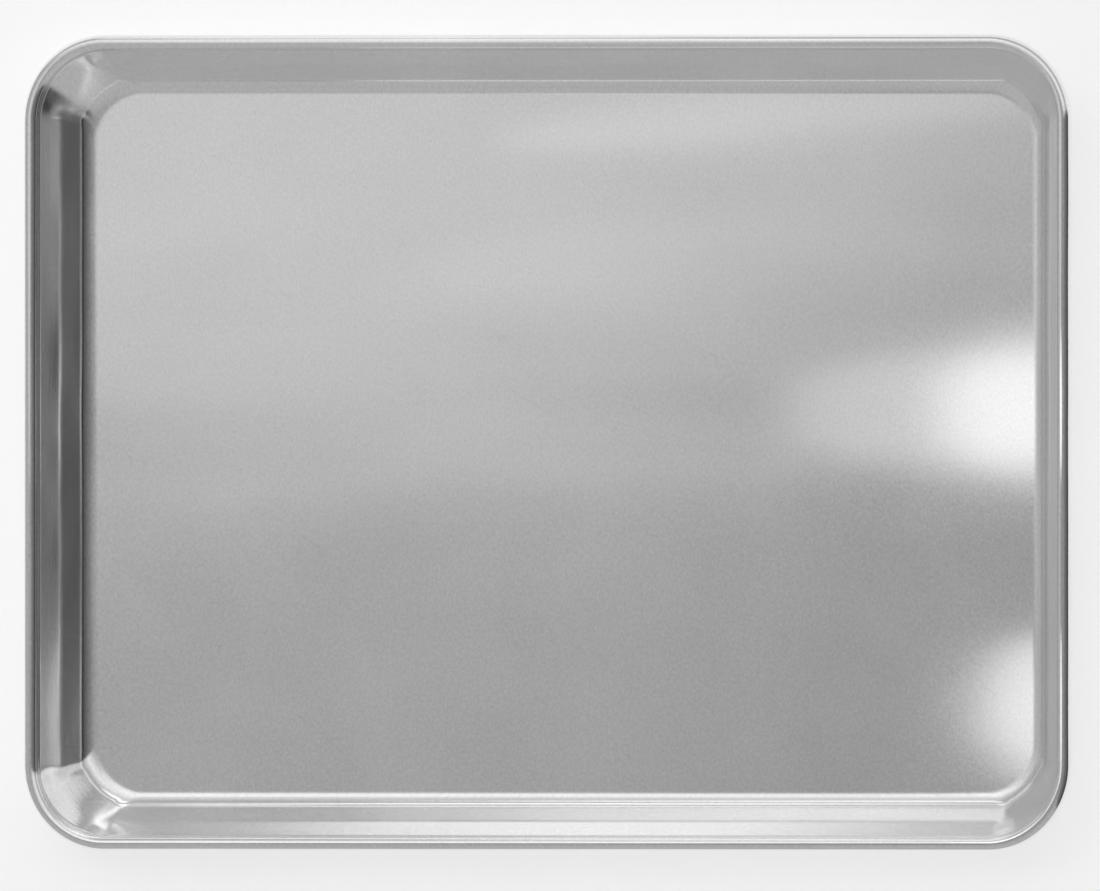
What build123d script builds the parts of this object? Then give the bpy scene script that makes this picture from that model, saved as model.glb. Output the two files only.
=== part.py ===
from build123d import *

import os
from math import asin, atan2, cos, degrees, hypot, pi, radians, sin, tan

# A rimmed baking pan: one drawn aluminium sheet, curled at the rim round a steel wire.
# Millimetres. +X runs along the long side, +Y along the short side, +Z up.
# The origin is the middle of the underside.

# Overall size, over the outside of the rolled rim
length = 450.0
width = 330.0
height = 25.4

# Sheet and wire
sheet = 1.0                   # thickness of the aluminium sheet
wire_diameter = 4.0           # steel wire inside the rim
wire_clearance = 0.05         # between the wire and the curl, all round
wire_joint = 0.3              # gap between the butted ends of the wire
wire_sides = 12               # flats that stand for the hidden wire's roundness, in fours

# Walls
wall_run = 22.9               # from the rim's outer edge in to the edge of the flat floor
floor_radius = 5.5            # inside radius between the floor and the walls
neck_radius = 2.0             # inside radius where the wall turns up into the rim

# Corners, seen from above
rim_corner_radius = 35.0      # over the outside of the rim
foot_corner_radius = 23.5     # where the walls, drawn straight on, meet the floor

# The curl starts beside the wire, goes over the top and ends underneath, short of the wall
curl_angle = 285.0

# Radii of the curl, and the height of the wire's centre
curl_inside = wire_diameter / 2 + wire_clearance
curl_outside = curl_inside + sheet
wire_height = height - curl_outside

# The section is drawn as (run, level): run is measured inward from the rim's outer edge.
# The wall is the straight line that touches the neck's circle and the floor radius's circle.
neck_run = 2 * curl_outside + neck_radius
rise = wire_height - sheet - floor_radius
reach = wall_run - neck_run
wall_angle = atan2(rise, reach) + asin((floor_radius - neck_radius) / hypot(rise, reach))


def round_neck(radius, share):
    """A point on a circle about the neck's centre: share 0 is beside the wire, 1 is where the wall starts."""
    angle = pi / 2 - share * (pi / 2 - wall_angle)
    return neck_run - radius * sin(angle), wire_height - radius * cos(angle)


def round_wire(radius, share):
    """A point on a circle about the wire: share 0 is beside the neck, 1 is the end of the curl."""
    angle = share * radians(curl_angle)
    return curl_outside + radius * cos(angle), wire_height + radius * sin(angle)


def down_wall(point, level):
    """The wall's line from a point on it, followed down to another level."""
    run, start = point
    return run + (start - level) / tan(wall_angle), level


# Where the straight wall starts and, drawn straight on, meets the floor, on each face of the sheet
outer_top = round_neck(neck_radius + sheet, 1)
inner_top = down_wall(round_neck(neck_radius, 1), outer_top[1])
outer_foot = down_wall(outer_top, 0)
inner_foot = down_wall(inner_top, sheet)


def outline(run, level, corner):
    """A rounded rectangle at a level, with its sides this far in from the rim's outer edge."""
    shape = RectangleRounded(length - 2 * run, width - 2 * run, corner)
    return Pos(0, 0, level) * shape


def tapered(foot, foot_corner, top, edge_radius):
    """The block between two outlines, with its floor edge rounded."""
    lower = outline(*foot, foot_corner)
    upper = outline(*top, rim_corner_radius - top[0])
    block = loft([lower, upper], ruled=True)
    floor_edges = block.edges().group_by(Axis.Z)[0]
    return fillet(floor_edges, edge_radius)


def tray():
    """The floor and the walls, up to where the neck starts."""
    outer_corner = foot_corner_radius + inner_foot[0] - outer_foot[0]
    outside = tapered(outer_foot, outer_corner, outer_top, floor_radius + sheet)
    inside = tapered(inner_foot, foot_corner_radius, inner_top, floor_radius)
    return outside - inside


def on_section(point):
    """A (run, level) point, placed on the section through the middle of the right-hand side."""
    run, level = point
    return Vector(length / 2 - run, 0, level)


def arc(point_at, radius):
    return ThreePointArc(*[on_section(point_at(radius, share)) for share in (0, 0.5, 1)])


def flats_round_wire():
    """The hidden inner face of the curl, in flats that lie along those of the wire."""
    angles = [*range(0, int(curl_angle), 360 // wire_sides), curl_angle]
    return Polyline(*[on_section(round_wire(curl_inside, angle / curl_angle)) for angle in angles])


def rim_section():
    """The neck and the curl, cut across."""
    inner_neck = arc(round_neck, neck_radius)
    outer_neck = arc(round_neck, neck_radius + sheet)
    curl_face = arc(round_wire, curl_outside)
    curl_back = flats_round_wire()
    wall_start = on_section(inner_top)
    edges = [
        Line(wall_start, inner_neck @ 1),
        inner_neck,
        curl_face,
        Line(curl_face @ 1, curl_back @ 1),
        curl_back,
        outer_neck,
        Line(outer_neck @ 1, wall_start),
    ]
    return make_face(edges)


def round_rim(section):
    """Runs a section once round the rim, along the line of the wire's centre."""
    path = outline(curl_outside, wire_height, rim_corner_radius - curl_outside)
    return sweep(section, path=path.wire())


def pan():
    return tray() + round_rim(rim_section())


def rim_wire():
    """The wire, cut where its ends butt in the middle of one long side."""
    start = on_section((curl_outside, wire_height))
    ring = round_rim(Plane(origin=start, z_dir=(0, 1, 0)) * RegularPolygon(wire_diameter / 2, wire_sides))
    gap = Box(wire_joint, 2 * wire_diameter, 2 * wire_diameter)
    return ring - Pos(0, width / 2 - curl_outside, wire_height) * gap


os.makedirs("parts", exist_ok=True)
for name, solid in {"pan": pan(), "rim_wire": rim_wire()}.items():
    export_step(solid, f"parts/{name}.step")
print(f"the walls lean {90 - degrees(wall_angle):.1f} degrees from upright")
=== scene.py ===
from math import asin, atan2, cos, hypot, pi, radians, sin, tan

import bpy
from mathutils import Euler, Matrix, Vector


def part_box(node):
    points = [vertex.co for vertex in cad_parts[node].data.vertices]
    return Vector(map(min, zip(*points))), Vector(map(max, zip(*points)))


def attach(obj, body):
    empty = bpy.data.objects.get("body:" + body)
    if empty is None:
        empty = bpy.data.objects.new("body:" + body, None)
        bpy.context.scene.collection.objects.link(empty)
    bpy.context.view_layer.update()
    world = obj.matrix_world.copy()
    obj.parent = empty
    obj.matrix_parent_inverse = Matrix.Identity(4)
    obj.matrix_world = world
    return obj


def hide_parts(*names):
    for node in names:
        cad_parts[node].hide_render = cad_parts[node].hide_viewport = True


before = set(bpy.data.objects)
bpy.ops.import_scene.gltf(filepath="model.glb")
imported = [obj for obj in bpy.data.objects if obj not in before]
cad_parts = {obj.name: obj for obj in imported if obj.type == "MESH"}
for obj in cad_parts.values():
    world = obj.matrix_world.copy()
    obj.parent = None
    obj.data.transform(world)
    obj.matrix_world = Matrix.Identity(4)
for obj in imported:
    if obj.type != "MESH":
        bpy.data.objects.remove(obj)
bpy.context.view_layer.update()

# A rimmed baking pan: one sheet of aluminium, rolled at the rim round a steel wire.
# Metres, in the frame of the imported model: +X along the long side, +Z up.
mm = 0.001
scene = bpy.context.scene
scene.view_settings.view_transform = "Standard"
panLow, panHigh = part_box("pan")
panSize = panHigh - panLow


# Small helpers for node trees

def addNode(tree, kind, inputs=None, **settings):
    node = tree.nodes.new(kind)
    for name, value in settings.items():
        setattr(node, name, value)
    for key, value in (inputs or {}).items():
        socket = node.inputs[key]
        if isinstance(value, bpy.types.NodeSocket):
            tree.links.new(value, socket)
        else:
            socket.default_value = value
    return node


def calc(tree, operation, *values, clamp=False):
    node = addNode(tree, "ShaderNodeMath", dict(enumerate(values)), operation=operation)
    node.use_clamp = clamp
    return node.outputs[0]


def blend(tree, share, start, end):
    return calc(tree, "MULTIPLY_ADD", share, calc(tree, "SUBTRACT", end, start), start)


def smoothStep(tree, value, low, high, start=0, end=1):
    # Eases from start to end while the value goes from low to high
    node = addNode(
        tree,
        "ShaderNodeMapRange",
        {"Value": value, "From Min": low, "From Max": high, "To Min": start, "To Max": end},
        interpolation_type="SMOOTHSTEP",
    )
    return node.outputs[0]


def easedRamp(tree, value, tones):
    # tones is a dictionary of place on the ramp, 0 to 1, and grey level there
    node = addNode(tree, "ShaderNodeValToRGB", {"Fac": value})
    node.color_ramp.interpolation = "EASE"
    stops = node.color_ramp.elements
    while len(stops) < len(tones):
        stops.new(0.5)
    for stop, (place, tone) in zip(stops, sorted(tones.items())):
        stop.position = place
        stop.color = (tone, tone, tone, 1)
    return node.outputs["Color"]


def newTree(name, kind, inputs, outputs):
    tree = bpy.data.node_groups.new(name, kind)
    for socketName, (socketType, value) in inputs.items():
        socket = tree.interface.new_socket(socketName, in_out="INPUT", socket_type=socketType)
        if value is not None:
            socket.default_value = value
    for socketName, socketType in outputs.items():
        tree.interface.new_socket(socketName, in_out="OUTPUT", socket_type=socketType)
    groupInput = tree.nodes.new("NodeGroupInput").outputs
    groupOutput = tree.nodes.new("NodeGroupOutput")
    return tree, groupInput, groupOutput


def finishTree(tree, mesh, material, made):
    # Both trees end in smooth faces, real geometry and the piece's material
    smooth = addNode(tree, "GeometryNodeSetShadeSmooth", {"Geometry": mesh})
    real = addNode(tree, "GeometryNodeRealizeInstances", {"Geometry": smooth.outputs["Geometry"]})
    finished = addNode(
        tree, "GeometryNodeSetMaterial", {"Geometry": real.outputs["Geometry"], "Material": material}
    )
    tree.links.new(finished.outputs["Geometry"], made.inputs["Geometry"])
    return tree


def runTree(piece, tree, values):
    # Puts a Geometry Nodes tree on a piece, sets its named inputs and keeps the result as a plain mesh
    modifier = piece.modifiers.new(tree.name, "NODES")
    modifier.node_group = tree
    for item in tree.interface.items_tree:
        if item.in_out == "INPUT" and item.name in values:
            modifier[item.identifier] = values[item.name]
    bpy.context.view_layer.update()
    evaluated = piece.evaluated_get(bpy.context.evaluated_depsgraph_get())
    mesh = bpy.data.meshes.new_from_object(evaluated)
    bpy.data.objects.remove(piece)
    return mesh


def place(name, mesh, material):
    piece = bpy.data.objects.new(name, mesh)
    scene.collection.objects.link(piece)
    mesh.materials.clear()
    mesh.materials.append(material)
    return piece


# Shader groups

def makeGrainGroup():
    # The fine rolled grain of sheet metal: short streaks along the rolling direction, with cloudy patches
    tree, given, made = newTree(
        "rolledGrain",
        "ShaderNodeTree",
        {
            "Vector": ("NodeSocketVector", None),
            "Grain Size": ("NodeSocketFloat", 0.4 * mm),
            "Stretch": ("NodeSocketFloat", 6.0),
            "Cloud Size": ("NodeSocketFloat", 60 * mm),
        },
        {"Grain": "NodeSocketFloat", "Cloud": "NodeSocketFloat"},
    )
    inverse = calc(tree, "DIVIDE", 1.0, given["Grain Size"])
    along = calc(tree, "DIVIDE", inverse, given["Stretch"])
    scale = addNode(tree, "ShaderNodeCombineXYZ", {"X": inverse, "Y": along, "Z": inverse})
    stretched = addNode(
        tree, "ShaderNodeVectorMath", {0: given["Vector"], 1: scale.outputs[0]}, operation="MULTIPLY"
    )
    grain = addNode(
        tree,
        "ShaderNodeTexNoise",
        {"Vector": stretched.outputs[0], "Scale": 1.0, "Detail": 2.0, "Roughness": 0.6},
    )
    cloudScale = calc(tree, "DIVIDE", 1.0, given["Cloud Size"])
    cloud = addNode(
        tree,
        "ShaderNodeTexNoise",
        {"Vector": given["Vector"], "Scale": cloudScale, "Detail": 4.0, "Roughness": 0.5, "Distortion": 0.4},
    )
    tree.links.new(grain.outputs["Fac"], made.inputs["Grain"])
    tree.links.new(cloud.outputs["Fac"], made.inputs["Cloud"])
    return tree


def makeScratchGroup():
    # Sparse hair scratches: thin lines where a stretched noise crosses its middle, kept in patches
    tree, given, made = newTree(
        "hairScratches",
        "ShaderNodeTree",
        {
            "Vector": ("NodeSocketVector", None),
            "Angle": ("NodeSocketFloat", 0.5),
            "Spacing": ("NodeSocketFloat", 9 * mm),
            "Length": ("NodeSocketFloat", 60 * mm),
            "Sharpness": ("NodeSocketFloat", 160.0),
            "Patch Scale": ("NodeSocketFloat", 34.0),
            "Cover": ("NodeSocketFloat", 0.45),
        },
        {"Scratch": "NodeSocketFloat"},
    )
    turned = addNode(
        tree,
        "ShaderNodeVectorRotate",
        {"Vector": given["Vector"], "Angle": given["Angle"]},
        rotation_type="Z_AXIS",
    )
    across = calc(tree, "DIVIDE", 1.0, given["Spacing"])
    along = calc(tree, "DIVIDE", 1.0, given["Length"])
    scale = addNode(tree, "ShaderNodeCombineXYZ", {"X": along, "Y": across, "Z": across})
    stretched = addNode(
        tree, "ShaderNodeVectorMath", {0: turned.outputs[0], 1: scale.outputs[0]}, operation="MULTIPLY"
    )
    lines = addNode(
        tree,
        "ShaderNodeTexNoise",
        {"Vector": stretched.outputs[0], "Scale": 1.0, "Detail": 3.0, "Distortion": 0.15},
    )
    middle = calc(tree, "ABSOLUTE", calc(tree, "SUBTRACT", lines.outputs["Fac"], 0.5))
    thin = calc(tree, "SUBTRACT", 1.0, calc(tree, "MULTIPLY", middle, given["Sharpness"]), clamp=True)
    patches = addNode(
        tree,
        "ShaderNodeTexNoise",
        {"Vector": turned.outputs[0], "Scale": given["Patch Scale"], "Detail": 1.0},
    )
    kept = calc(tree, "GREATER_THAN", patches.outputs["Fac"], calc(tree, "SUBTRACT", 1.0, given["Cover"]))
    tree.links.new(calc(tree, "MULTIPLY", thin, kept), made.inputs["Scratch"])
    return tree


grainGroup = makeGrainGroup()
scratchGroup = makeScratchGroup()


def useGroup(tree, group, inputs):
    return addNode(tree, "ShaderNodeGroup", inputs, node_tree=group).outputs


def newMaterial(name):
    material = bpy.data.materials.new(name)
    material.use_nodes = True
    tree = material.node_tree
    return material, tree, tree.nodes["Principled BSDF"]


# Finish of the aluminium sheet

sheetFinish = {
    "color": 0.90,
    "colorSpread": 0.12,
    "grainSpread": 0.24,
    "floorRoughness": 0.23,
    "wallRoughness": 0.14,
    "anisotropy": 0.5,          # light spreads across the grain, which runs along Y
    "roughnessSpread": 0.05,
    "grainSize": 0.8 * mm,
    "grainStretch": 1.6,
    "grainDepth": 0.010 * mm,
    "waveScale": (3.0, 16.0, 50.0),  # how often the waves change in a metre along X, Y and Z
    "waveDepth": 0.7 * mm,
    "drawLinesRound": 7.0,      # the same for the draw lines, round the walls and across them
    "drawLinesAcross": 900.0,
    "drawLineDepth": 0.010 * mm,
    "scratchAngle": radians(35),
    "scratchShade": 0.05,
}


def makeSheetMaterial(finish):
    material, tree, shader = newMaterial("satinAluminium")
    coords = addNode(tree, "ShaderNodeTexCoord").outputs["Object"]
    across = addNode(tree, "ShaderNodeAttribute", attribute_name="across").outputs["Fac"]
    floorShare = addNode(tree, "ShaderNodeAttribute", attribute_name="floorShare").outputs["Fac"]

    grain = useGroup(
        tree,
        grainGroup,
        {"Vector": coords, "Grain Size": finish["grainSize"], "Stretch": finish["grainStretch"]},
    )
    scratch = useGroup(tree, scratchGroup, {"Vector": coords, "Angle": finish["scratchAngle"]})

    # Draw lines run round the walls, so their pattern is fine across the section and long round the pan
    parts = addNode(tree, "ShaderNodeSeparateXYZ", {0: coords}).outputs
    wallCoords = addNode(
        tree,
        "ShaderNodeCombineXYZ",
        {
            "X": calc(tree, "MULTIPLY", parts["X"], finish["drawLinesRound"]),
            "Y": calc(tree, "MULTIPLY", parts["Y"], finish["drawLinesRound"]),
            "Z": calc(tree, "MULTIPLY", across, finish["drawLinesAcross"]),
        },
    ).outputs[0]
    drawLines = addNode(tree, "ShaderNodeTexNoise", {"Vector": wallCoords, "Scale": 1.0, "Detail": 3.0})

    tone = calc(tree, "SUBTRACT", grain["Cloud"], 0.5)
    fine = calc(tree, "SUBTRACT", grain["Grain"], 0.5)
    shade = calc(tree, "MULTIPLY_ADD", tone, finish["colorSpread"], finish["color"])
    shade = calc(tree, "MULTIPLY_ADD", fine, finish["grainSpread"], shade)
    shade = calc(tree, "SUBTRACT", shade, calc(tree, "MULTIPLY", scratch["Scratch"], finish["scratchShade"]))
    color = addNode(tree, "ShaderNodeCombineColor", {"Red": shade, "Green": shade, "Blue": shade}).outputs[0]
    tree.links.new(color, shader.inputs["Base Color"])

    satin = blend(tree, floorShare, finish["wallRoughness"], finish["floorRoughness"])
    rough = calc(tree, "MULTIPLY_ADD", fine, finish["roughnessSpread"], satin)
    rough = calc(tree, "MULTIPLY_ADD", tone, finish["roughnessSpread"], rough)
    tree.links.new(rough, shader.inputs["Roughness"])

    # The sheet is gently wavy: in bands along the floor, and in patches on the walls
    banded = addNode(tree, "ShaderNodeMapping", {"Vector": coords, "Scale": finish["waveScale"]}).outputs[0]
    wave = addNode(tree, "ShaderNodeTexNoise", {"Vector": banded, "Scale": 1.0, "Detail": 1.0})
    height = calc(tree, "MULTIPLY", wave.outputs["Fac"], finish["waveDepth"])
    height = calc(tree, "MULTIPLY_ADD", grain["Grain"], finish["grainDepth"], height)
    lines = calc(tree, "MULTIPLY", drawLines.outputs["Fac"], calc(tree, "SUBTRACT", 1.0, floorShare))
    height = calc(tree, "MULTIPLY_ADD", lines, finish["drawLineDepth"], height)
    bump = addNode(tree, "ShaderNodeBump", {"Height": height, "Distance": 1.0, "Strength": 1.0})
    tree.links.new(bump.outputs[0], shader.inputs["Normal"])
    acrossGrain = addNode(tree, "ShaderNodeCombineXYZ", {"X": 1.0}).outputs[0]
    tree.links.new(acrossGrain, shader.inputs["Tangent"])
    shader.inputs["Anisotropic"].default_value = finish["anisotropy"]
    shader.inputs["Metallic"].default_value = 1.0
    return material


# Finish of the wire

wireFinish = {
    "color": 0.55,
    "blueTint": 1.03,
    "spangleScale": 450.0,
    "spangleSpread": 0.10,
    "roughness": 0.38,
    "roughnessSpread": 0.25,
    "cloudSize": 8 * mm,
    "grainSize": 0.5 * mm,
    "grainDepth": 0.02 * mm,
    "bumpStrength": 0.6,
}


def makeWireMaterial(finish):
    material, tree, shader = newMaterial("galvanisedWire")
    coords = addNode(tree, "ShaderNodeTexCoord").outputs["Object"]
    grain = useGroup(
        tree,
        grainGroup,
        {"Vector": coords, "Grain Size": finish["grainSize"], "Cloud Size": finish["cloudSize"]},
    )
    spangle = addNode(tree, "ShaderNodeTexVoronoi", {"Vector": coords, "Scale": finish["spangleScale"]})
    spangle = addNode(tree, "ShaderNodeSeparateColor", {0: spangle.outputs["Color"]}).outputs[0]
    spangle = calc(tree, "SUBTRACT", spangle, 0.5)
    shade = calc(tree, "MULTIPLY_ADD", spangle, finish["spangleSpread"], finish["color"])
    blue = calc(tree, "MULTIPLY", shade, finish["blueTint"])
    color = addNode(tree, "ShaderNodeCombineColor", {"Red": shade, "Green": shade, "Blue": blue}).outputs[0]
    tree.links.new(color, shader.inputs["Base Color"])
    cloud = calc(tree, "SUBTRACT", grain["Cloud"], 0.5)
    rough = calc(tree, "MULTIPLY_ADD", cloud, finish["roughnessSpread"], finish["roughness"])
    tree.links.new(rough, shader.inputs["Roughness"])
    height = calc(tree, "MULTIPLY", grain["Grain"], finish["grainDepth"])
    bump = addNode(
        tree, "ShaderNodeBump", {"Height": height, "Distance": 1.0, "Strength": finish["bumpStrength"]}
    )
    tree.links.new(bump.outputs[0], shader.inputs["Normal"])
    shader.inputs["Metallic"].default_value = 1.0
    return material


# The pan. A point of its section is (run, level, tilt, corner, flat, lift). Run is measured in from the
# rim's outer edge, tilt is the slope of the upper face, corner is the corner radius of the ring that the
# point makes, flat is how far that ring's corners are flattened, and lift is how far the middle of its
# sides is raised.

panSheet = {
    "sheet": 1.0 * mm,
    "wallRun": 24.2 * mm,         # from the rim's outer edge in to the edge of the flat floor
    "floorRadius": 8.0 * mm,      # wider than in the solids, and tangent to the same wall
    "neckRadius": 2.0 * mm,       # inside the bend where the wall turns up into the rim
    "curlRadius": 3.05 * mm,      # over the outside of the curl
    "curlAngle": radians(285),
    "edgeRound": 0.2 * mm,        # on the cut edge of the sheet, inside the curl
    "rimCorner": 35.0 * mm,       # corner radius over the outside of the rim
    "wallFootCorner": 19.5 * mm,  # corner radius where the wall ends and the floor radius starts
    "footFlat": 0.34,             # how far the corners are flattened there: 0 is an arc, 1 its chord
    "knuckle": 0.22,              # share of a corner at each end over which the flattening comes in
    "floorCorner": 20.5 * mm,     # corner radius of the flat floor
    "puckerRun": 9.6 * mm,        # middle, half length and height of the puckers in the corners
    "puckerLength": 4.0 * mm,
    "puckerLift": 0.42 * mm,
    "puckerShare": 0.13,          # how far into the corner a pucker has its middle
    "bendRun": 12.3 * mm,         # the sides bulge along a soft bend, half way down
    "bendLength": 1.6 * mm,
    "bendLift": 1.35 * mm,        # how far the middle of a side rises there above a straight wall
    "endLift": 0.5,               # share of that rise at the ends of a side
    "bowStart": 0.04,             # shares of a side, from its ends, between which the rise grows
    "bowFull": 0.40,
    "arcStep": radians(5),
    "cornerSteps": 40,
    "sideSteps": 24,
    "support": 0.35 * mm,         # distance of the extra rings beside each arc
    "supportShare": 0.02,         # and of the extra columns beside each corner, as a share of its radius
    "floorRings": (12 * mm, 3 * mm),  # distance of two more rings inside the edge of the flat floor
    "edgeRoundness": 4,           # power of the curve round the cut edge: 2 is an ellipse
    "merge": 0.001 * mm,          # points this close are one, where each ring closes
}


def arcShares(sweep, step):
    count = max(2, round(abs(sweep) / step))
    return [index / count for index in range(count + 1)]


def sheetLine(sizes):
    # The upper face of the sheet, from the middle of the floor out to the end of the curl
    sheet, wallRun, floorRadius = sizes["sheet"], sizes["wallRun"], sizes["floorRadius"]
    neckRadius, curlRadius = sizes["neckRadius"], sizes["curlRadius"]
    wireHeight = panSize.z - curlRadius
    neckRun = 2 * curlRadius + neckRadius
    rise, reach = wireHeight - sheet - floorRadius, wallRun - neckRun
    slope = atan2(rise, reach) + asin((floorRadius - neckRadius) / hypot(rise, reach))
    top = (neckRun - neckRadius * sin(slope), wireHeight - neckRadius * cos(slope))
    foot = (wallRun - floorRadius * sin(slope), sheet + floorRadius - floorRadius * cos(slope))
    print(f"walls: {90 - slope * 180 / pi:.1f} degrees from upright")

    def wallCorner(run):
        share = (run - top[0]) / (foot[0] - top[0])
        atTop = sizes["rimCorner"] - top[0]
        return atTop + share * (sizes["wallFootCorner"] - atTop), share * sizes["footFlat"]

    def lift(run):
        # Nothing at the top and the foot, and a rounded peak at the bend
        bend, half = sizes["bendRun"], sizes["bendLength"] / 2
        down = (run - top[0]) / (bend - top[0])
        up = (foot[0] - run) / (foot[0] - bend)
        near = max(1 - abs(run - bend) / half, 0)
        rounding = near**2 * half / 4 * (1 / (bend - top[0]) + 1 / (foot[0] - bend))
        return sizes["bendLift"] * (min(down, up) - rounding)

    # The floor's middle, its rings and the floor radius
    line = [(panSize.y / 2, sheet, 0, 0, 0, 0)]
    for inset in (*sizes["floorRings"], sizes["support"]):
        line.append((wallRun + inset, sheet, 0, max(sizes["floorCorner"] - inset, 0), 0, 0))
    for share in arcShares(slope, sizes["arcStep"]):
        turn = share * slope
        corner = sizes["floorCorner"] + share * (sizes["wallFootCorner"] - sizes["floorCorner"])
        run, level = wallRun - floorRadius * sin(turn), sheet + floorRadius * (1 - cos(turn))
        line.append((run, level, turn, corner, share * sizes["footFlat"], 0))

    # Rings up the wall, close together where it bends and where it puckers
    bendShares = (1.5, 1, 0.75, 0.5, 0.25, 0, -0.25, -0.5, -0.75, -1, -1.5)
    puckerShares = (0.15, 0, -0.15, -0.3, -0.45, -0.6)
    wallRuns = [foot[0] - sizes["support"], (foot[0] + sizes["bendRun"]) / 2]
    wallRuns += [sizes["bendRun"] + sizes["bendLength"] / 2 * share for share in bendShares]
    wallRuns += [sizes["puckerRun"] + sizes["puckerLength"] * share for share in puckerShares]
    wallRuns += [top[0] + sizes["support"]]
    for run in wallRuns:
        level = foot[1] + (foot[0] - run) * tan(slope)
        line.append((run, level, slope, *wallCorner(run), lift(run)))

    # The neck and the curl
    for share in arcShares(pi / 2 - slope, sizes["arcStep"]):
        turn = slope + share * (pi / 2 - slope)
        run = neckRun - neckRadius * sin(turn)
        line.append((run, wireHeight - neckRadius * cos(turn), turn, sizes["rimCorner"] - run, 0, 0))
    for share in arcShares(sizes["curlAngle"], sizes["arcStep"])[1:]:
        turn = share * sizes["curlAngle"]
        run = curlRadius * (1 + cos(turn))
        level = wireHeight + curlRadius * sin(turn)
        line.append((run, level, pi / 2 - turn, sizes["rimCorner"] - run, 0, 0))
    return line


def closedSection(sizes):
    # Out along the upper face, round the cut edge, and back along the lower face
    line = sheetLine(sizes)
    sheet, power = sizes["sheet"], sizes["edgeRoundness"]

    def offset(station, depth, beyond=0):
        # The same station at a depth in the sheet, without its tilt
        run, level, tilt, corner, flat, raised = station
        return (
            run - depth * sin(tilt) - beyond * cos(tilt),
            level - depth * cos(tilt) + beyond * sin(tilt),
            corner + depth * sin(tilt) + beyond * cos(tilt),
            flat,
            raised,
        )

    out = [offset(station, 0) for station in line]
    edge = []
    edgeShares = (0.04, 0.12, 0.25, 0.5, 0.75, 0.88, 0.96)
    for share in edgeShares:
        beyond = sizes["edgeRound"] * (1 - abs(2 * share - 1) ** power) ** (1 / power)
        edge.append(offset(line[-1], share * sheet, beyond))
    back = [offset(station, sheet) for station in reversed(line)]
    return out + edge + back


def ringGrid(tree, given, rows):
    # A grid with a row for each point of the section and a column for each place round the pan. Each
    # corner has the columns of its arc and one beside each end, and then come those of the next side.
    cornerSteps = given["Corner Steps"]
    afterCorner = calc(tree, "ADD", cornerSteps, 1)
    perCorner = calc(tree, "ADD", calc(tree, "ADD", afterCorner, 2), given["Side Steps"])
    columns = calc(tree, "MULTIPLY_ADD", perCorner, 4, 1)
    grid = addNode(tree, "GeometryNodeMeshGrid", {"Vertices X": columns, "Vertices Y": rows})

    index = addNode(tree, "GeometryNodeInputIndex").outputs[0]
    column = calc(tree, "FLOOR", calc(tree, "DIVIDE", calc(tree, "ADD", index, 0.5), rows))
    row = calc(tree, "SUBTRACT", index, calc(tree, "MULTIPLY", column, rows))
    corner = calc(tree, "FLOOR", calc(tree, "DIVIDE", calc(tree, "ADD", column, 0.5), perCorner))
    step = calc(tree, "SUBTRACT", column, calc(tree, "MULTIPLY", corner, perCorner))
    step = calc(tree, "SUBTRACT", step, 1)
    arcStep = calc(tree, "MINIMUM", calc(tree, "MAXIMUM", step, 0), cornerSteps)
    sideSteps = calc(tree, "ADD", given["Side Steps"], 1)
    side = calc(tree, "DIVIDE", calc(tree, "SUBTRACT", step, afterCorner), sideSteps, clamp=True)
    past = calc(tree, "SUBTRACT", step, arcStep)
    beforeNext = calc(tree, "SUBTRACT", 1, side)
    return {
        "mesh": grid.outputs["Mesh"],
        "row": row,
        "corner": corner,                                   # 0 to 3, and 4 where the rings close
        "arc": calc(tree, "DIVIDE", arcStep, cornerSteps),  # 0 to 1 round the corner
        "side": side,                                       # 0 to 1 along the side after it
        "beside": calc(tree, "MINIMUM", past, beforeNext),  # -1 just before it, 1 just after it
    }


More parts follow.
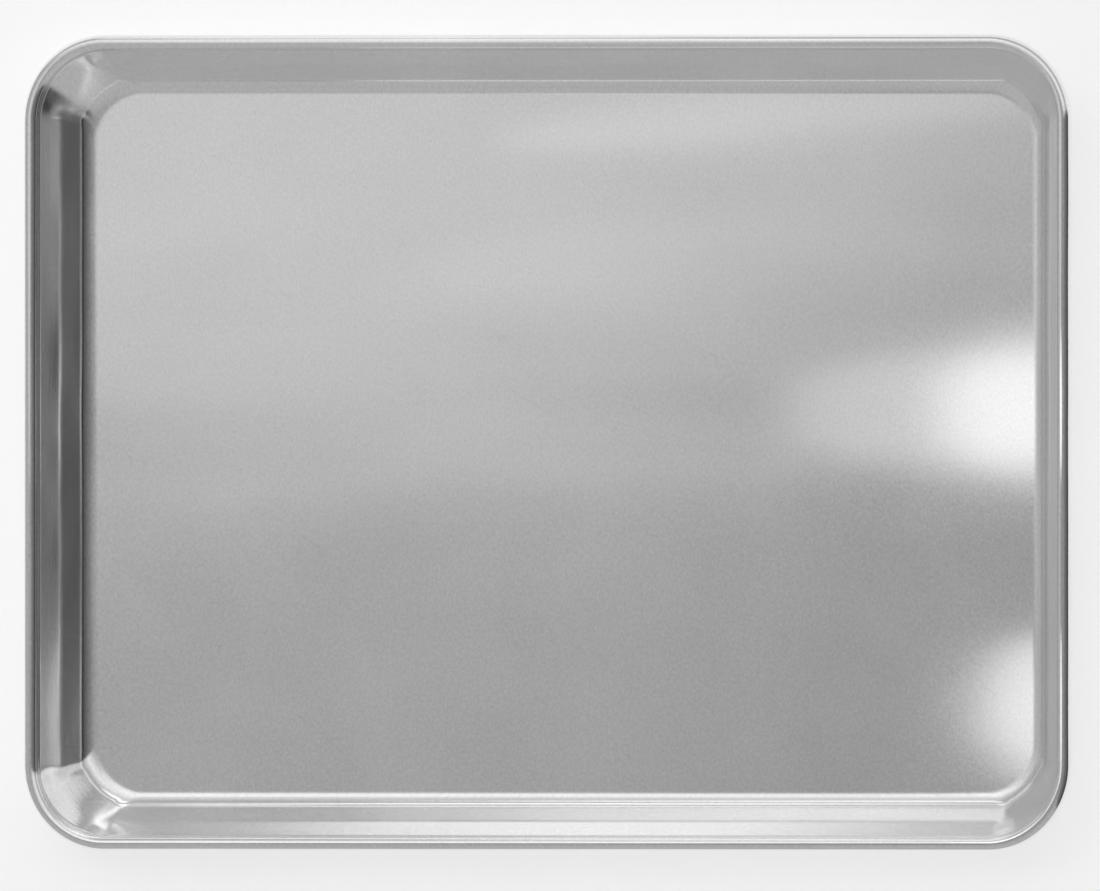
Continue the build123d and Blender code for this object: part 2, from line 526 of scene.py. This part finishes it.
def makeRingTree():
    # Carries a section round a rounded rectangle. Each vertex of the section makes one ring: its X is the
    # run and its Z the level. The attributes corner and flat are the radius of the ring's corners and how
    # far they are flattened from an arc towards its chord. Lift raises the middle of its sides, and pucker
    # the ends of its corners.
    tree, given, made = newTree(
        "ringFromSection",
        "GeometryNodeTree",
        {
            "Geometry": ("NodeSocketGeometry", None),
            "Length": ("NodeSocketFloat", 0.45),
            "Width": ("NodeSocketFloat", 0.33),
            "Corner Steps": ("NodeSocketInt", 32),
            "Side Steps": ("NodeSocketInt", 12),
            "Support Share": ("NodeSocketFloat", 0.02),
            "Knuckle": ("NodeSocketFloat", 0.2),
            "End Lift": ("NodeSocketFloat", 0.5),
            "Bow Start": ("NodeSocketFloat", 0.0),
            "Bow Full": ("NodeSocketFloat", 0.5),
            "Pucker Share": ("NodeSocketFloat", 0.1),
            "Merge Distance": ("NodeSocketFloat", 0.001 * mm),
            "Material": ("NodeSocketMaterial", None),
        },
        {"Geometry": "NodeSocketGeometry"},
    )
    link = tree.links.new
    counts = addNode(tree, "GeometryNodeAttributeDomainSize", {"Geometry": given["Geometry"]})
    grid = ringGrid(tree, given, counts.outputs["Point Count"])
    corner, arc, side = grid["corner"], grid["arc"], grid["side"]

    def sample(dataType, socket):
        node = addNode(
            tree, "GeometryNodeSampleIndex", {"Geometry": given["Geometry"]}, data_type=dataType
        )
        link(socket, node.inputs["Value"])
        link(grid["row"], node.inputs["Index"])
        return node.outputs["Value"]

    def named(name):
        node = addNode(tree, "GeometryNodeInputNamedAttribute", {"Name": name}, data_type="FLOAT")
        return sample("FLOAT", node.outputs["Attribute"])

    position = sample("FLOAT_VECTOR", addNode(tree, "GeometryNodeInputPosition").outputs[0])
    position = addNode(tree, "ShaderNodeSeparateXYZ", {0: position}).outputs
    run, level, radius = position["X"], position["Z"], named("corner")

    # The flattening eases in over the knuckle, a share of the corner at each of its ends
    fromEnd = calc(tree, "MINIMUM", arc, calc(tree, "SUBTRACT", 1, arc))
    ease = smoothStep(tree, fromEnd, 0, given["Knuckle"])
    flat = calc(tree, "MULTIPLY", named("flat"), ease)

    # The lift grows towards the middle of each side, and fades in the corners as the flattening comes in
    fromCorner = calc(tree, "MINIMUM", side, calc(tree, "SUBTRACT", 1, side))
    bow = smoothStep(tree, fromCorner, given["Bow Start"], given["Bow Full"], given["End Lift"])
    bow = calc(tree, "MULTIPLY", bow, calc(tree, "SUBTRACT", 1, ease))
    level = calc(tree, "MULTIPLY_ADD", named("lift"), bow, level)

    # A small pucker in the wall, a little way into each end of each corner
    fromPucker = calc(tree, "ABSOLUTE", calc(tree, "SUBTRACT", fromEnd, given["Pucker Share"]))
    swell = smoothStep(tree, fromPucker, 0, given["Pucker Share"], 1, 0)
    level = calc(tree, "MULTIPLY_ADD", named("pucker"), swell, level)

    # The direction from the corner's centre, turned along the arc and flattened towards its chord
    angle = calc(tree, "MULTIPLY", calc(tree, "ADD", corner, arc), pi / 2)
    across, along = calc(tree, "COSINE", angle), calc(tree, "SINE", angle)
    backwards = calc(tree, "MULTIPLY", along, -1)
    quarterStart = calc(tree, "MULTIPLY", corner, pi / 2)
    quarterEnd = calc(tree, "ADD", quarterStart, pi / 2)

    def flatten(direction, operation):
        start, end = calc(tree, operation, quarterStart), calc(tree, operation, quarterEnd)
        return blend(tree, flat, direction, blend(tree, arc, start, end))

    # The signs of the corner's centre, which go over to those of the next corner along the side
    diagonal = calc(tree, "MULTIPLY_ADD", corner, pi / 2, pi / 4)
    nextDiagonal = calc(tree, "ADD", diagonal, pi / 2)

    def cornerSign(operation):
        here = calc(tree, "SIGN", calc(tree, operation, diagonal))
        there = calc(tree, "SIGN", calc(tree, operation, nextDiagonal))
        return blend(tree, side, here, there)

    support = calc(tree, "MULTIPLY", grid["beside"], given["Support Share"])
    support = calc(tree, "MULTIPLY", support, radius)
    inset = calc(tree, "ADD", run, radius)

    def coordinate(size, sign, direction, tangent):
        centre = calc(tree, "SUBTRACT", calc(tree, "MULTIPLY", size, 0.5), inset)
        onArc = calc(tree, "MULTIPLY_ADD", radius, direction, calc(tree, "MULTIPLY", sign, centre))
        return calc(tree, "MULTIPLY_ADD", support, tangent, onArc)

    x = coordinate(given["Length"], cornerSign("COSINE"), flatten(across, "COSINE"), backwards)
    y = coordinate(given["Width"], cornerSign("SINE"), flatten(along, "SINE"), across)
    point = addNode(tree, "ShaderNodeCombineXYZ", {"X": x, "Y": y, "Z": level})
    placed = addNode(
        tree, "GeometryNodeSetPosition", {"Geometry": grid["mesh"], "Position": point.outputs[0]}
    ).outputs["Geometry"]

    # What the finish reads on the piece
    for name in ("across", "floorShare"):
        placed = addNode(
            tree,
            "GeometryNodeStoreNamedAttribute",
            {"Geometry": placed, "Name": name, "Value": named(name)},
            data_type="FLOAT",
            domain="POINT",
        ).outputs["Geometry"]

    closed = addNode(
        tree, "GeometryNodeMergeByDistance", {"Geometry": placed, "Distance": given["Merge Distance"]}
    )
    turned = addNode(tree, "GeometryNodeFlipFaces", {"Mesh": closed.outputs["Geometry"]})
    return finishTree(tree, turned.outputs["Mesh"], given["Material"], made)


def sectionObject(section, sizes):
    # The section as a line of points, with what the tree and the finish read at each of them
    mesh = bpy.data.meshes.new("section")
    runs, levels, corners, flats, lifts = zip(*section)
    points = [(run, 0, level) for run, level in zip(runs, levels)]
    mesh.from_pydata(points, [(index, index + 1) for index in range(len(points) - 1)], [])

    nearPucker = [max(1 - abs(run - sizes["puckerRun"]) / sizes["puckerLength"], 0) for run in runs]
    puckers = [sizes["puckerLift"] * near**2 * (3 - 2 * near) for near in nearPucker]
    across = [0]
    for before, after in zip(points, points[1:]):
        across.append(across[-1] + (Vector(after) - Vector(before)).length)
    floorStart = sizes["wallRun"] - sizes["floorRadius"]
    floorShare = [min(max((run - floorStart) / sizes["floorRadius"], 0), 1) for run in runs]
    values = {
        "corner": corners,
        "flat": flats,
        "lift": lifts,
        "pucker": puckers,
        "across": across,
        "floorShare": floorShare,
    }
    for name, numbers in values.items():
        mesh.attributes.new(name, "FLOAT", "POINT").data.foreach_set("value", numbers)
    piece = bpy.data.objects.new("section", mesh)
    scene.collection.objects.link(piece)
    return piece


def makePan(sizes, material):
    section = closedSection(sizes)
    mesh = runTree(
        sectionObject(section, sizes),
        makeRingTree(),
        {
            "Length": panSize.x,
            "Width": panSize.y,
            "Corner Steps": sizes["cornerSteps"],
            "Side Steps": sizes["sideSteps"],
            "Support Share": sizes["supportShare"],
            "Knuckle": sizes["knuckle"],
            "End Lift": sizes["endLift"],
            "Bow Start": sizes["bowStart"],
            "Bow Full": sizes["bowFull"],
            "Pucker Share": sizes["puckerShare"],
            "Merge Distance": sizes["merge"],
            "Material": material,
        },
    )
    pan = place("panSheet", mesh, material)
    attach(pan, "root")
    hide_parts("pan")
    print(f"pan: {len(section)} points in the section, {len(mesh.polygons)} faces")


# The wire in the rim

rimWire = {
    "diameter": 4.0 * mm,
    "joint": 0.3 * mm,  # gap between its butted ends
    "sides": 24,
}


def wirePath(sizes, sheetSizes):
    # Round the pan from one side of the butt joint, in the middle of the long +Y side, to the other
    inset = sheetSizes["curlRadius"]
    radius = sheetSizes["rimCorner"] - inset
    level = panSize.z - inset
    halfX, halfY = panSize.x / 2 - inset, panSize.y / 2 - inset
    steps = sheetSizes["cornerSteps"]
    points = [(-sizes["joint"] / 2, halfY, level)]
    for corner, (signX, signY) in enumerate(((-1, 1), (-1, -1), (1, -1), (1, 1)), start=1):
        for step in range(steps + 1):
            angle = (corner + step / steps) * pi / 2
            x = signX * (halfX - radius) + radius * cos(angle)
            y = signY * (halfY - radius) + radius * sin(angle)
            points.append((x, y, level))
    points.append((sizes["joint"] / 2, halfY, level))
    return points


def makeWireTree():
    tree, given, made = newTree(
        "wireOnPath",
        "GeometryNodeTree",
        {
            "Geometry": ("NodeSocketGeometry", None),
            "Radius": ("NodeSocketFloat", 2 * mm),
            "Sides": ("NodeSocketInt", 24),
            "Material": ("NodeSocketMaterial", None),
        },
        {"Geometry": "NodeSocketGeometry"},
    )
    section = addNode(
        tree, "GeometryNodeCurvePrimitiveCircle", {"Resolution": given["Sides"], "Radius": given["Radius"]}
    )
    wire = addNode(
        tree,
        "GeometryNodeCurveToMesh",
        {"Curve": given["Geometry"], "Profile Curve": section.outputs["Curve"], "Fill Caps": True},
    )
    return finishTree(tree, wire.outputs["Mesh"], given["Material"], made)


def makeWire(sizes, sheetSizes, material):
    path = bpy.data.curves.new("wirePath", "CURVE")
    path.dimensions = "3D"
    points = wirePath(sizes, sheetSizes)
    spline = path.splines.new("POLY")
    spline.points.add(len(points) - 1)
    for point, position in zip(spline.points, points):
        point.co = (*position, 1)
    guide = bpy.data.objects.new("wirePath", path)
    scene.collection.objects.link(guide)
    mesh = runTree(
        guide,
        makeWireTree(),
        {"Radius": sizes["diameter"] / 2, "Sides": sizes["sides"], "Material": material},
    )
    wire = place("rimWire", mesh, material)
    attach(wire, "root")
    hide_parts("rim_wire")
    print(f"wire: {len(mesh.polygons)} faces")


makePan(panSheet, makeSheetMaterial(sheetFinish))
makeWire(rimWire, panSheet, makeWireMaterial(wireFinish))


# Floor that the pan stands on

stageFloor = {
    "size": 12.0,
    "gap": 0.05 * mm,       # between the floor and the pan
    "touch": 2 * mm,        # reflections shorter than this leave the floor out
    "color": 0.85,
    "colorSpread": 0.01,
    "noiseScale": 40.0,
    "glow": 0.48,
}


def makeStage(settings):
    material, tree, shader = newMaterial("paleFloor")
    noise = addNode(tree, "ShaderNodeTexNoise", {"Scale": settings["noiseScale"], "Detail": 2.0})
    tree.links.new(addNode(tree, "ShaderNodeTexCoord").outputs["Object"], noise.inputs["Vector"])
    shade = calc(tree, "MULTIPLY_ADD", noise.outputs["Fac"], settings["colorSpread"], settings["color"])
    color = addNode(tree, "ShaderNodeCombineColor", {"Red": shade, "Green": shade, "Blue": shade}).outputs[0]
    tree.links.new(color, shader.inputs["Base Color"])
    shader.inputs["Roughness"].default_value = 1.0
    shader.inputs["Specular IOR Level"].default_value = 0.0
    # Pale for the eye and in reflections, and no brighter for the light that the floor throws on the pan
    path = addNode(tree, "ShaderNodeLightPath").outputs
    seen = calc(tree, "MAXIMUM", path["Is Camera Ray"], path["Is Glossy Ray"])
    seen = calc(tree, "MAXIMUM", seen, path["Is Transmission Ray"])
    tree.links.new(calc(tree, "MULTIPLY", seen, settings["glow"]), shader.inputs["Emission Strength"])
    shader.inputs["Emission Color"].default_value = (1, 1, 1, 1)
    # Seen from below, and in the underside that lies on it, the floor is left out and the underside shows
    clear = addNode(tree, "ShaderNodeBsdfTransparent")
    behind = addNode(tree, "ShaderNodeNewGeometry").outputs["Backfacing"]
    touching = calc(tree, "LESS_THAN", path["Ray Length"], settings["touch"])
    touching = calc(tree, "MULTIPLY", touching, path["Is Glossy Ray"])
    leftOut = calc(tree, "MAXIMUM", behind, touching)
    both = addNode(tree, "ShaderNodeMixShader", {0: leftOut, 1: shader.outputs[0], 2: clear.outputs[0]})
    tree.links.new(both.outputs[0], tree.nodes["Material Output"].inputs["Surface"])
    half = settings["size"] / 2
    mesh = bpy.data.meshes.new("stageFloor")
    corners = [(-half, -half), (half, -half), (half, half), (-half, half)]
    mesh.from_pydata([(x, y, -settings["gap"]) for x, y in corners], [], [(0, 1, 2, 3)])
    place("stageFloor", mesh, material)


makeStage(stageFloor)
print("stage is set")


# Studio light. Each side of the room has grey levels by elevation, in degrees above the horizon.

studio = {
    "sides": {
        "right": {
            -10: 0.42, 0: 0.26, 4: 0.21, 7: 0.17, 9.5: 0.0, 16: 0.02, 26: 0.10, 55: 0.16, 80: 0.24, 90: 0.27,
        },
        "back": {
            -10: 0.50, 0: 0.8, 6: 0.82, 16: 0.50, 24: 0.38, 44: 0.68, 55: 0.88, 68: 0.74, 80: 0.45, 90: 0.27,
        },
        "left": {-10: 0.46, 0: 0.36, 26: 0.43, 48: 0.41, 63: 0.31, 80: 0.28, 90: 0.27},
        "front": {-10: 0.40, 0: 0.44, 8: 0.44, 24: 0.45, 54: 0.42, 75: 0.33, 90: 0.27},
    },
    "lowest": -10,    # the ends of all four lists
    "highest": 90,
    # Compass directions, in degrees from +X towards +Y, where one side ends and the next starts
    "corners": {"rightToBack": 9, "backToLeft": 152, "leftToFront": -155, "frontToRight": -40},
    "softness": 3.0,  # degrees to each side of a corner over which the two sides blend
}


def makeWorld(settings):
    lowest, softness = settings["lowest"], settings["softness"]
    span = settings["highest"] - lowest
    world = bpy.data.worlds.new("studio")
    scene.world = world
    world.use_nodes = True
    tree = world.node_tree
    direction = addNode(tree, "ShaderNodeTexCoord").outputs["Generated"]
    parts = addNode(tree, "ShaderNodeSeparateXYZ", {0: direction}).outputs
    azimuth = calc(tree, "MULTIPLY", calc(tree, "ARCTAN2", parts["Y"], parts["X"]), 180 / pi)
    elevation = calc(tree, "MULTIPLY", calc(tree, "ARCSINE", parts["Z"]), 180 / pi)
    height = calc(tree, "MULTIPLY_ADD", elevation, 1 / span, -lowest / span)

    def tone(side):
        levels = settings["sides"][side].items()
        return easedRamp(tree, height, {(degrees - lowest) / span: level for degrees, level in levels})

    def past(corner):
        middle = settings["corners"][corner]
        return smoothStep(tree, azimuth, middle - softness, middle + softness)

    # From one side of the room to the next, by compass direction
    level = tone("left")
    for corner, side in (
        ("leftToFront", "front"),
        ("frontToRight", "right"),
        ("rightToBack", "back"),
        ("backToLeft", "left"),
    ):
        level = blend(tree, past(corner), level, tone(side))
    tree.links.new(level, tree.nodes["Background"].inputs["Color"])
    print(f"room: {len(settings['sides'])} sides")


makeWorld(studio)

viewTilt = radians(20)  # how far the camera leans from upright, towards +X

# Softboxes over the pan. Each hangs where the camera sees it mirrored in the floor, at its spot.
softboxes = {
    "overhead": {
        "spot": (-120 * mm, 218 * mm), "height": 0.9, "turn": 0,
        "size": (0.77, 0.46), "spread": 90, "level": 0.30,
    },
    "leftFill": {
        "spot": (-150 * mm, -70 * mm), "height": 0.5, "turn": 0,
        "size": (0.46, 0.50), "spread": 90, "level": 0.08,
    },
    "rightMiddle": {
        "spot": (213 * mm, 14 * mm), "height": 0.15, "turn": 0,
        "size": (96 * mm, 60 * mm), "spread": 60, "level": 0.63,
    },
    "rightTail": {
        "spot": (172 * mm, 14 * mm), "height": 0.15, "turn": 0,
        "size": (140 * mm, 48 * mm), "spread": 60, "level": 0.33,
    },
    "rightFront": {
        "spot": (216 * mm, -107 * mm), "height": 0.15, "turn": 0,
        "size": (68 * mm, 60 * mm), "spread": 60, "level": 0.93,
    },
    "backRight": {
        "spot": (100 * mm, 134 * mm), "height": 0.15, "turn": 5,
        "size": (240 * mm, 18 * mm), "spread": 60, "level": 0.2,
    },
    "backMiddle": {
        "spot": (35 * mm, 78 * mm), "height": 0.2, "turn": 6,
        "size": (200 * mm, 18 * mm), "spread": 60, "level": 0.12,
    },
}
# Softboxes that stand behind the pan and face it, and show in the near wall
standing = {
    "backLow": {"place": (-0.22, 0.5, 0.15), "size": (0.30, 0.10), "spread": 100, "level": 1.15},
    "backHigh": {"place": (-0.11, 0.5, 0.39), "size": (0.46, 0.20), "spread": 120, "level": 1.15},
}


def makeLamp(name, settings, location, rotation):
    light = bpy.data.lights.new(name, "AREA")
    light.shape = "ELLIPSE"
    light.size, light.size_y = settings["size"]
    light.spread = radians(settings["spread"])
    # Seen along its axis, an ellipse of area a with power p has a brightness of p / (pi a), times what its
    # narrower spread gathers there
    lost = (pi - light.spread) / 2
    gain = 2 / (2 + (2 * lost - pi) * tan(lost))
    light.energy = settings["level"] / gain * pi * pi / 4 * light.size * light.size_y
    lamp = bpy.data.objects.new(name, light)
    scene.collection.objects.link(lamp)
    lamp.location = location
    lamp.rotation_mode = "ZYX"
    lamp.rotation_euler = rotation
    lamp.visible_camera = False


for name, settings in softboxes.items():
    x, y = settings["spot"]
    location = (x - settings["height"] * tan(viewTilt), y, settings["height"])
    makeLamp(name, settings, location, (0, -viewTilt, radians(settings["turn"])))
for name, settings in standing.items():
    makeLamp(name, settings, settings["place"], (-pi / 2, 0, 0))
print(f"lights: {len(softboxes) + len(standing)} softboxes")


# Camera: a very long lens above the pan, leaning towards +X

photo = {
    "width": 1100,                # pixels of the photograph
    "height": 891,
    "rimCentre": (547.2, 443.0),  # where it shows the middle of the rim, from its upper left corner
    "pixelsPerMetre": 2475.0,
    # Past about 1400 mm the pan lies beyond the far clip of every view but this one, and those show nothing
    "lens": 6000.0,               # millimetres, long because the photograph hardly tapers
    "sensor": 36.0,
}


def makeCamera(settings):
    data = bpy.data.cameras.new("camera")
    data.sensor_width = settings["sensor"]
    data.lens = settings["lens"]
    camera = bpy.data.objects.new("camera", data)
    scene.collection.objects.link(camera)
    turn = Euler((0, viewTilt, 0))
    right, up, back = turn.to_matrix().transposed()
    rimCentre = Vector((0, 0, panSize.z - panSheet["curlRadius"]))
    aside = (settings["width"] / 2 - settings["rimCentre"][0]) / settings["pixelsPerMetre"]
    above = (settings["rimCentre"][1] - settings["height"] / 2) / settings["pixelsPerMetre"]
    target = rimCentre + right * aside + up * above
    distance = settings["width"] / settings["pixelsPerMetre"] * data.lens / data.sensor_width
    camera.location = target + back * distance
    camera.rotation_euler = turn
    data.clip_end = 2 * distance
    scene.camera = camera
    print(f"camera: {distance:.2f} m away")


makeCamera(photo)
